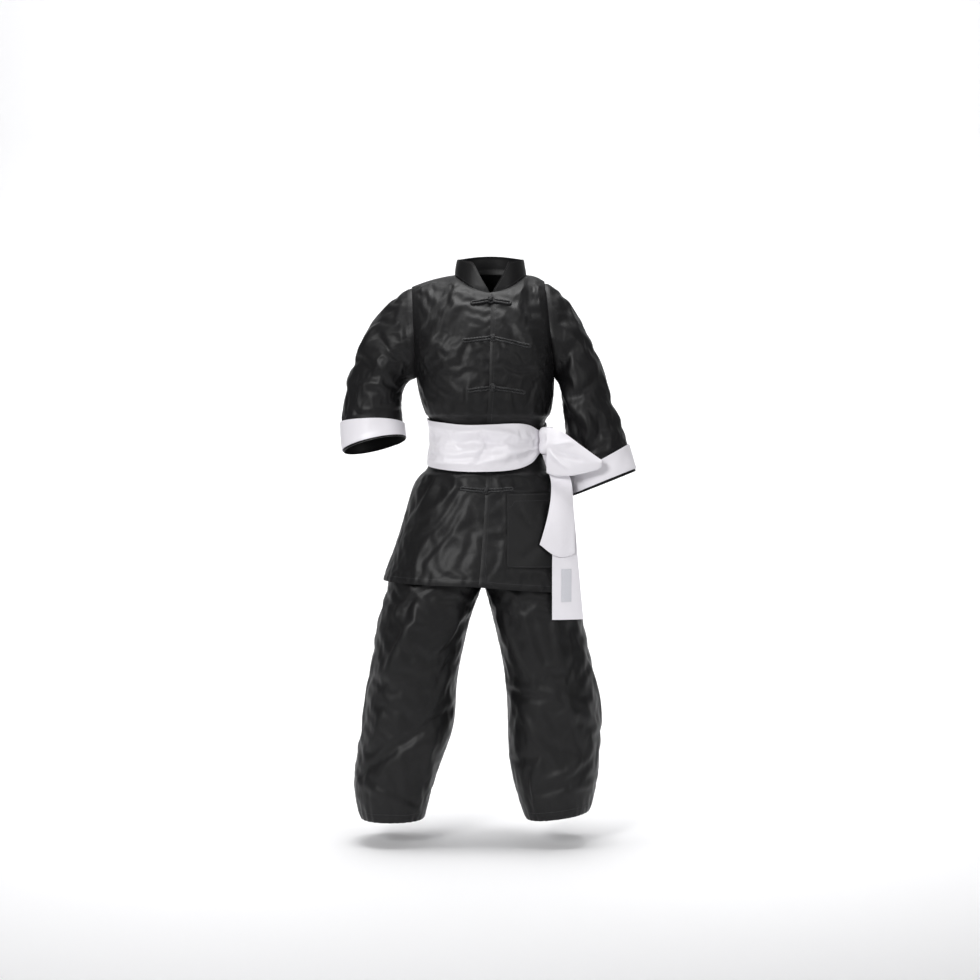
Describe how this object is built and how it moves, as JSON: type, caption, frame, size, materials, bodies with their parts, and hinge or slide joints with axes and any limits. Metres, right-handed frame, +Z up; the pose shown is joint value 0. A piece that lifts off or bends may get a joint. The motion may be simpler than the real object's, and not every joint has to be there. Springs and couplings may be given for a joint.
{
  "type": "tai chi uniform",
  "caption": "Black satin tai chi uniform: stand-collar jacket with frog fastenings, pocket and white turned-back cuffs, wide trousers and a knotted white sash, in its worn form",
  "frame": {"origin": "between the shoulders at the base of the neck, where the wearer holds the uniform up", "axes": "+Z up, the front faces -Y, +X is the wearer's left"},
  "size_m": [0.5566, 0.2562, 1.053],
  "materials": {
    "black_satin": "soft satin with a low broad sheen",
    "black_cord": "matt twisted cord",
    "white_satin": "bright satin with soft folds",
    "label_weave": "close matt weave, bare"
  },
  "bodies": {
    "root": {"front_panel_left": "black_satin", "front_panel_right": "black_satin", "back_panel": "black_satin", "sleeve_right": "black_satin", "sleeve_left": "black_satin", "collar": "black_satin", "pocket": "black_satin", "trouser_leg_right": "black_satin", "trouser_leg_left": "black_satin", "trouser_waistband": "black_satin", "frog_neck_knob": "black_cord", "frog_neck_loop_right": "black_cord", "frog_neck_loop_left": "black_cord", "frog_chest_upper_knob": "black_cord", "frog_chest_upper_loop_right": "black_cord", "frog_chest_upper_loop_left": "black_cord", "frog_chest_lower_knob": "black_cord", "frog_chest_lower_loop_right": "black_cord", "frog_chest_lower_loop_left": "black_cord", "frog_hip_knob": "black_cord", "frog_hip_loop_right": "black_cord", "frog_hip_loop_left": "black_cord", "cuff_right": "white_satin", "cuff_left": "white_satin", "sash_wrap": "white_satin", "sash_knot": "white_satin", "sash_loop": "white_satin", "sash_tail_short": "white_satin", "sash_tail_long": "white_satin", "sash_label": "label_weave"}
  },
  "joints": []
}
